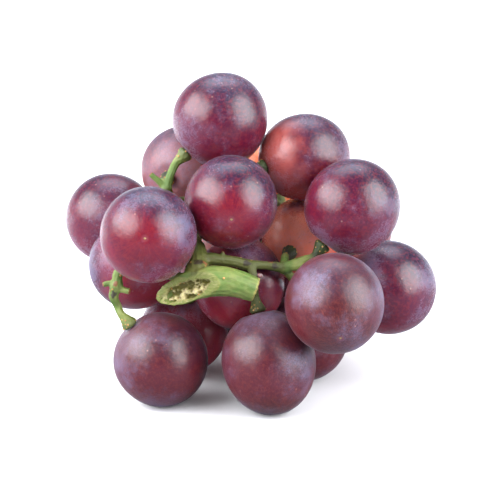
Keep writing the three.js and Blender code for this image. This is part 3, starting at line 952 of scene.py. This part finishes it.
def fused(mesh, voxel):
    """One closed skin round everything in the mesh, made of steps of voxel millimetres."""
    holder = new_object("fusing", mesh)
    remesh = holder.modifiers.new("fuse", "REMESH")
    remesh.mode = "VOXEL"
    remesh.voxel_size = voxel * MM
    made = evaluated_mesh(holder, "stem_branches")
    bpy.data.objects.remove(holder)
    return made


stem_mesh = fused(rough_stem, VOXEL)
print("fused stem:", len(stem_mesh.polygons), "faces")

# %% [markdown]
# ## Ridges, tears and what the stem's surface remembers
#
# Every point of the fused stem finds the branch it belongs to, and so knows how far along that branch
# and at what angle round it it lies. That gives the lengthwise ridges a direction, and it is kept as
# attributes that the stem's material follows: fibre direction, cut faces, torn pith, caps and dark
# marks. Doing it by hand with a brush would not repeat the same way each time.

# %% Find each point's branch
SMOOTHING_ROUNDS = 3

spots = []
owners = []
for name, line in lines.items():
    for index, place in enumerate(line):
        spots.append(Vector(place[:3]) * MM)
        owners.append((name, index))
nearest = kdtree.KDTree(len(spots))
for index, spot in enumerate(spots):
    nearest.insert(spot, index)
nearest.balance()


def smoothed(mesh, rounds):
    """Averages each vertex with its neighbours, which takes the voxel steps off."""
    edges = np.array([edge.vertices for edge in mesh.edges])
    places = np.zeros(len(mesh.vertices) * 3)
    mesh.vertices.foreach_get("co", places)
    places = places.reshape(-1, 3)
    count = np.bincount(edges.ravel(), minlength=len(places))[:, None]
    for _ in range(rounds):
        total = np.zeros_like(places)
        np.add.at(total, edges[:, 0], places[edges[:, 1]])
        np.add.at(total, edges[:, 1], places[edges[:, 0]])
        places = (places + total / count) / 2
    mesh.vertices.foreach_set("co", places.ravel())
    mesh.update()


smoothed(stem_mesh, SMOOTHING_ROUNDS)
fibre_way = np.zeros((len(stem_mesh.vertices), 3))
branch_of = []
radius_of = np.zeros(len(stem_mesh.vertices))
for vertex in stem_mesh.vertices:
    _, index, _ = nearest.find(vertex.co)
    name, step = owners[index]
    along, across, other = frames_of[name][step]
    offset = vertex.co - spots[index]
    turn = math.atan2(offset.dot(other), offset.dot(across))
    distance = step * LINE_STEP + offset.dot(along) / MM
    fibre_way[vertex.index] = (math.cos(turn), math.sin(turn), distance)
    radius_of[vertex.index] = offset.length / MM
    branch_of.append(name)
print("branches with surface:", len(set(branch_of)))

# %% Press in the ridges and the torn hollow
RIDGE_DEPTH = 0.055
HOLLOW_LONG = 7.6
HOLLOW_WIDE = 2.5
HOLLOW_DEPTH = 2.4
HOLLOW_AT = Vector((-16.3, -30.9, 33.1))
CUT_END = Vector((2, -30.3, 33.2))
CUT_WAY = Vector((4, -0.1, -1.5)).normalized()
RIM_WIDE = 0.7
SLICE_REACH = 0.35  # how far under the slice a point still belongs to the cut face
CUT_END_REACH = 3.6
SAWN_UNEVEN = 0.12
BROKEN_UNEVEN = 0.22
OLIVE_SOFTNESS = 14  # rounds of averaging
# Masks that end at a branch's tip: how far from the tip they reach, and how far they take to fade.
CAP_REACH = (4.6, 2.6)
DARK_CAP_REACH = (8.5, 3.0)
DRY_TIP_REACH = (1.1, 0.6)
RUST_MARKS = [
    ((-10.9, -27.8, 40.1), 1.2),
    ((-11.2, -27.2, 41.2), 1.0),
    ((-11.5, -26.4, 42.3), 1.1),
    ((-11.9, -25.6, 43.4), 1.0),
    ((-12.3, -24.9, 44.5), 1.0),
    ((-34.6, -25.6, 33.6), 1.0),
    ((6.0, -20.6, 38.4), 1.0),
]
DARK_CAPS = ("02", "03", "11", "15")
CORKY_EVERYWHERE = 0.05
CORKY_STALK = 0.15
OLIVE_BRANCHES = ("rachis", "right", "back", "left", "stalk_grape_06", "stalk_grape_04", "stub_3")
DARK_MARKS = [
    ((-12.9, -28.4, 40.2), 1.7),
    ((-11.9, -27.9, 40.0), 1.3),
    ((-0.2, -23.6, 39.0), 1.5),
    ((6.9, -21.0, 37.0), 1.3),
    ((-35.2, -25.4, 30.6), 1.3),
    ((-6.5, -22.8, 41.7), 1.2),
    ((1.2, -25.4, 33.6), 1.6),
]


def rock(place, scale):
    """A smooth random number from -1 to 1."""
    return noise.noise(Vector(place) * scale)


def within(value):
    """The value, held between 0 and 1."""
    return max(0.0, min(1.0, value))


def near_tip(left, reach):
    """1 where little of a branch is left, fading to 0 at its reach. All in millimetres."""
    far, fade = reach
    return within((far - left) / fade)


def marked(place, marks, sharp, ragged):
    """How strongly the nearest of some round marks colours a place, 0 to 1, with a ragged edge."""
    strongest = 0.0
    for spot, size in marks:
        closeness = 1.0 - (place - Vector(spot)).length / size
        strongest = max(strongest, min(1.0, closeness * sharp + ragged * rock(place, 1.3)))
    return strongest


def torn_face(place):
    """On the slanting cut: how deep the surface is torn, and whether it is inside the tear, 0 to 1."""
    from_middle = place - HOLLOW_AT
    along = from_middle.dot(SLICE_ALONG) / HOLLOW_LONG
    across = from_middle.dot(SLICE_ACROSS) / HOLLOW_WIDE
    ragged = along**2 + across**2 + 0.30 * rock(place, 0.8) + 0.16 * rock(place, 2.4)
    inside = within((1.0 - ragged) * 3.0)
    shelf = max(0.0, 1.0 - abs(across - 0.4) / 0.45)
    lumps = max(0.0, 0.1 + 0.8 * shelf + 0.9 * rock(place, 0.8) + 0.5 * rock(place, 2.1))
    depth = inside * HOLLOW_DEPTH * max(0.12, 1.0 - 0.85 * lumps)
    return depth, inside


STEM_MASKS = ("cut", "pith", "tear", "cap", "dark", "rust", "rim", "olive")
masks = {name: np.zeros(len(stem_mesh.vertices)) for name in STEM_MASKS}
masks["corky"] = np.full(len(stem_mesh.vertices), CORKY_EVERYWHERE)
masks["olive"] = np.array([1.0 if name in OLIVE_BRANCHES else 0.0 for name in branch_of])
normals = np.zeros(len(stem_mesh.vertices) * 3)
stem_mesh.vertices.foreach_get("normal", normals)
normals = normals.reshape(-1, 3)
for vertex in stem_mesh.vertices:
    number = vertex.index
    place = vertex.co / MM
    normal = Vector(normals[number])
    name = branch_of[number]
    height = (place - SLICE_AT).dot(SLICE_FACING)
    if name == "main" and height > -SLICE_REACH and normal.dot(SLICE_FACING) > 0.6:
        masks["cut"][number] = 1.0
        depth, masks["pith"][number] = torn_face(place)
        masks["tear"][number] = depth / HOLLOW_DEPTH
        vertex.co -= SLICE_FACING * (depth + SAWN_UNEVEN * rock(place, 2.0)) * MM
    elif name == "main" and (place - CUT_END).length < CUT_END_REACH and normal.x > 0.55:
        masks["cut"][number] = 1.0
        vertex.co += normal * BROKEN_UNEVEN * rock(place, 1.8) * MM
    else:
        turn = math.atan2(fibre_way[number][1], fibre_way[number][0])
        ridges = round(5 + 2.6 * radius_of[number])
        wave = math.cos(turn * ridges + 1.2 * rock(place, 0.25))
        uneven = 0.10 * rock(place, 0.45) + 0.05 * rock(place, 1.4)
        vertex.co += normal * (RIDGE_DEPTH * wave + uneven) * MM
    left = len(lines[name]) * LINE_STEP - fibre_way[number][2]
    if name.startswith("stalk_"):
        by_cap = near_tip(left, CAP_REACH)
        masks["cap"][number] = near_tip(left, DARK_CAP_REACH) if name[-2:] in DARK_CAPS else 0.5 * by_cap
        masks["corky"][number] = CORKY_STALK + (1 - CORKY_STALK) * by_cap
    if name.startswith("stub_"):
        masks["rust"][number] = near_tip(left, DRY_TIP_REACH)
    if name == "main":
        from_end = (place - CUT_END).dot(CUT_WAY)
        masks["rim"][number] = within(1.0 + from_end / RIM_WIDE + 0.4 * rock(place, 1.5))
    masks["dark"][number] = marked(place, DARK_MARKS, 1.5, 0.8)
    masks["rust"][number] = max(masks["rust"][number], marked(place, RUST_MARKS, 1.8, 0.6))


def spread(mesh, values, rounds):
    """Softens the edges of a per-vertex mask by averaging along the mesh's edges."""
    edges = np.array([edge.vertices for edge in mesh.edges])
    count = np.bincount(edges.ravel(), minlength=len(values))
    for _ in range(rounds):
        total = np.bincount(edges[:, 0], values[edges[:, 1]], len(values))
        total += np.bincount(edges[:, 1], values[edges[:, 0]], len(values))
        values = (values + total / count) / 2
    return values


keep(stem_mesh, "fibre_way", fibre_way)
masks["olive"] = spread(stem_mesh, masks["olive"], OLIVE_SOFTNESS)
for name, values in masks.items():
    keep(stem_mesh, name, values)
stem_mesh.shade_smooth()
print("cut points:", int(masks["cut"].sum()), "pith points:", int((masks["pith"] > 0.5).sum()))

# %% The stem's material
FRESH_GREEN = (0.088, 0.165, 0.025, 1)
YELLOW_GREEN = (0.21, 0.245, 0.060, 1)
OLIVE = (0.070, 0.068, 0.014, 1)
CAP_GREEN = (0.013, 0.015, 0.010, 1)
PITH_CREAM = (0.62, 0.54, 0.27, 1)
PITH_PAINTED_SHADE = (0.15, 0.135, 0.022, 1)
CUT_GREEN = (0.17, 0.20, 0.036, 1)
RUST = (0.20, 0.085, 0.025, 1)
RIM_YELLOW = (0.50, 0.42, 0.13, 1)
DARK_BARK = (0.035, 0.024, 0.016, 1)
TAN_FLECK = (0.22, 0.12, 0.04, 1)


def stem_material():
    material, tree, shader = new_material("stem_green")
    place = add(tree, "ShaderNodeTexCoord").outputs["Object"]
    kept = {name: kept_value(tree, name) for name in STEM_MASKS}
    way = kept_value(tree, "fibre_way", "Vector")
    streaks = use_group(tree, fibres, {"Vector": way, "Seed": 3.0, "Count": 5.0, "Stretch": 0.35})[0]
    fine = use_group(tree, fibres, {"Vector": way, "Seed": 8.0, "Count": 13.0, "Stretch": 0.6})[0]
    clouds = speckle(tree, place, 130.0, 4.0, 0.6)
    grains = speckle(tree, place, 2200.0, 3.0, 0.7)
    colour = blend(tree, ramp(tree, clouds, 0.36, 0.62), FRESH_GREEN, YELLOW_GREEN)
    old = maths(tree, "ADD", kept["olive"], ramp(tree, streaks, 0.50, 0.70, 0.0, 0.5), clamp=True)
    colour = blend(tree, maths(tree, "MULTIPLY", old, 0.78), colour, OLIVE)
    colour = blend(tree, ramp(tree, fine, 0.50, 0.78, 0.0, 0.45), colour, YELLOW_GREEN)
    rusty = ramp(tree, speckle(tree, place, 420.0, 5.0, 0.7), 0.60, 0.72, 0.0, 0.5)
    colour = blend(tree, rusty, colour, TAN_FLECK)
    mottled_cap = maths(tree, "MULTIPLY", kept["cap"], ramp(tree, clouds, 0.35, 0.6, 0.6, 0.92))
    colour = blend(tree, mottled_cap, colour, CAP_GREEN)
    ragged = maths(tree, "MULTIPLY", maths(tree, "SUBTRACT", grains, 0.5), 0.8)
    torn = maths(tree, "ADD", kept["tear"], ragged)
    # The torn pith is painted darker the deeper it is torn: painted shade in the hollow.
    pith_with_painted_shade = blend(tree, ramp(tree, torn, 0.30, 0.85), PITH_CREAM, PITH_PAINTED_SHADE)
    cut_face = blend(tree, ramp(tree, fine, 0.40, 0.80, 0.0, 0.45), CUT_GREEN, PITH_CREAM)
    cut_face = blend(tree, kept["pith"], cut_face, pith_with_painted_shade)
    colour = blend(tree, kept["cut"], colour, cut_face)
    marks = ramp(tree, maths(tree, "ADD", kept["dark"], maths(tree, "MULTIPLY", grains, 0.4)), 0.5, 0.9)
    colour = blend(tree, maths(tree, "MULTIPLY", marks, 0.9), colour, DARK_BARK)
    rim = maths(tree, "MULTIPLY", kept["rim"], ramp(tree, grains, 0.3, 0.6))
    colour = blend(tree, rim, colour, RIM_YELLOW)
    brown = ramp(tree, maths(tree, "ADD", kept["rust"], maths(tree, "MULTIPLY", grains, 0.35)), 0.45, 0.85)
    colour = blend(tree, brown, colour, RUST)
    tree.links.new(colour, shader.inputs["Base Color"])
    tree.links.new(ramp(tree, grains, 0.3, 0.7, 0.42, 0.6), shader.inputs["Roughness"])
    relief = maths(tree, "ADD", fine, maths(tree, "MULTIPLY", grains, 0.4))
    bumped(tree, shader, relief, 0.5, 0.0002)
    set_shader(shader, {
        "Subsurface Weight": 0.2,
        "Subsurface Radius": (0.7, 1.0, 0.3),
        "Subsurface Scale": 0.0012,
    })
    return material


stem_mesh.materials.clear()
stem_mesh.materials.append(stem_material())
finished_piece("stem_branches", stem_mesh, "green_stem", "stem")
print("stem:", len(stem_mesh.polygons), "faces")

# %% [markdown]
# ## Corky dots
#
# The caps and stalks are dotted with small raised tan pores, which makes them read as living wood and
# not as wire. They follow the stem's surface and there are hundreds, so a Geometry Nodes tree scatters
# one small rounded dot over the stem, thickly on the caps and thinly elsewhere, with a fixed seed.

# %% Scatter the dots
DOT_RADIUS = 0.25
DOTS_PER_SQUARE_METRE = 420000.0
DOT_SIDES = 8
DOT_ROWS = 5
CORK_BROWN = (0.30, 0.17, 0.05, 1)
CORK_TAN = (0.62, 0.34, 0.11, 1)


def dot_tree():
    tree = bpy.data.node_groups.new("corky_dots", "GeometryNodeTree")
    tree.interface.new_socket("Stem", in_out="INPUT", socket_type="NodeSocketGeometry")
    for name, default in {"Density": DOTS_PER_SQUARE_METRE, "Radius": DOT_RADIUS * MM}.items():
        tree.interface.new_socket(name, in_out="INPUT", socket_type=NUMBER).default_value = default
    tree.interface.new_socket("Cork", in_out="INPUT", socket_type="NodeSocketMaterial")
    tree.interface.new_socket("Dots", in_out="OUTPUT", socket_type="NodeSocketGeometry")
    given = tree.nodes.new("NodeGroupInput").outputs
    share = add(tree, "GeometryNodeInputNamedAttribute", {"Name": "corky"}, data_type="FLOAT").outputs[0]
    density = maths(tree, "MULTIPLY", share, given["Density"])
    scatter_values = {"Mesh": given["Stem"], "Density": density, "Seed": 4}
    scatter = add(tree, "GeometryNodeDistributePointsOnFaces", scatter_values).outputs
    dot_values = {"Segments": DOT_SIDES, "Rings": DOT_ROWS, "Radius": 1.0}
    dot = add(tree, "GeometryNodeMeshUVSphere", dot_values).outputs[0]
    dot = add(tree, "GeometryNodeSetShadeSmooth", {"Geometry": dot}).outputs[0]
    draw = {"Min": 0.6, "Max": 1.35, "Seed": 9}
    share_of_size = add(tree, "FunctionNodeRandomValue", draw, data_type="FLOAT").outputs["Value"]
    size = maths(tree, "MULTIPLY", share_of_size, given["Radius"])
    flat = maths(tree, "MULTIPLY", size, 0.55)
    scale = add(tree, "ShaderNodeCombineXYZ", {0: size, 1: size, 2: flat}).outputs[0]
    dots = add(
        tree,
        "GeometryNodeInstanceOnPoints",
        {"Points": scatter["Points"], "Instance": dot, "Rotation": scatter["Rotation"], "Scale": scale},
    ).outputs[0]
    return finish_tree(tree, dots, given["Cork"])


def cork_material():
    material, tree, shader = cloudy_material("cork_tan", 900.0, CORK_BROWN, CORK_TAN, 0.7)
    place = add(tree, "ShaderNodeTexCoord").outputs["Object"]
    bumped(tree, shader, speckle(tree, place, 6000.0, 2.0, 0.6), 0.4, 0.0001)
    return material


dots_mesh = tree_mesh("corky_dots", stem_mesh, dot_tree(), {"Cork": cork_material()})
finished_piece("corky_dots", dots_mesh, "green_stem")
print("corky dots:", len(dots_mesh.polygons) // (DOT_SIDES * DOT_ROWS))

# %% [markdown]
# ## A berry that never grew
#
# Bunches often keep a flower that set but never swelled: here a pale pink bead beside the stalk that
# carries the nearest low berry. A bmesh sphere, a little flattened, is all it needs.

# %% Make the bead
BEAD_AT = (3.1, -23.6, 35.1)
BEAD_RADIUS = 0.8
BEAD_FLATNESS = 0.86
BEAD_DUSKY = (0.26, 0.13, 0.13, 1)
BEAD_PINK = (0.42, 0.26, 0.25, 1)


def bead_material():
    material, _, shader = cloudy_material("bead_pink", 1500.0, BEAD_DUSKY, BEAD_PINK, 0.35)
    set_shader(shader, {"Subsurface Weight": 0.4, "Subsurface Scale": 0.001})
    return material


bead_shape = bmesh.new()
bead_place = Matrix.Translation(Vector(BEAD_AT) * MM) @ Matrix.Diagonal((1, 1, BEAD_FLATNESS, 1))
bmesh.ops.create_uvsphere(
    bead_shape, u_segments=24, v_segments=14, radius=BEAD_RADIUS * MM, matrix=bead_place
)
bead_mesh = bpy.data.meshes.new("small_bead")
bead_shape.to_mesh(bead_mesh)
bead_shape.free()
bead_mesh.shade_smooth()
bead_mesh.materials.append(bead_material())
finished_piece("small_bead", bead_mesh, "berry_skin")
print("bead:", len(bead_mesh.polygons), "faces")
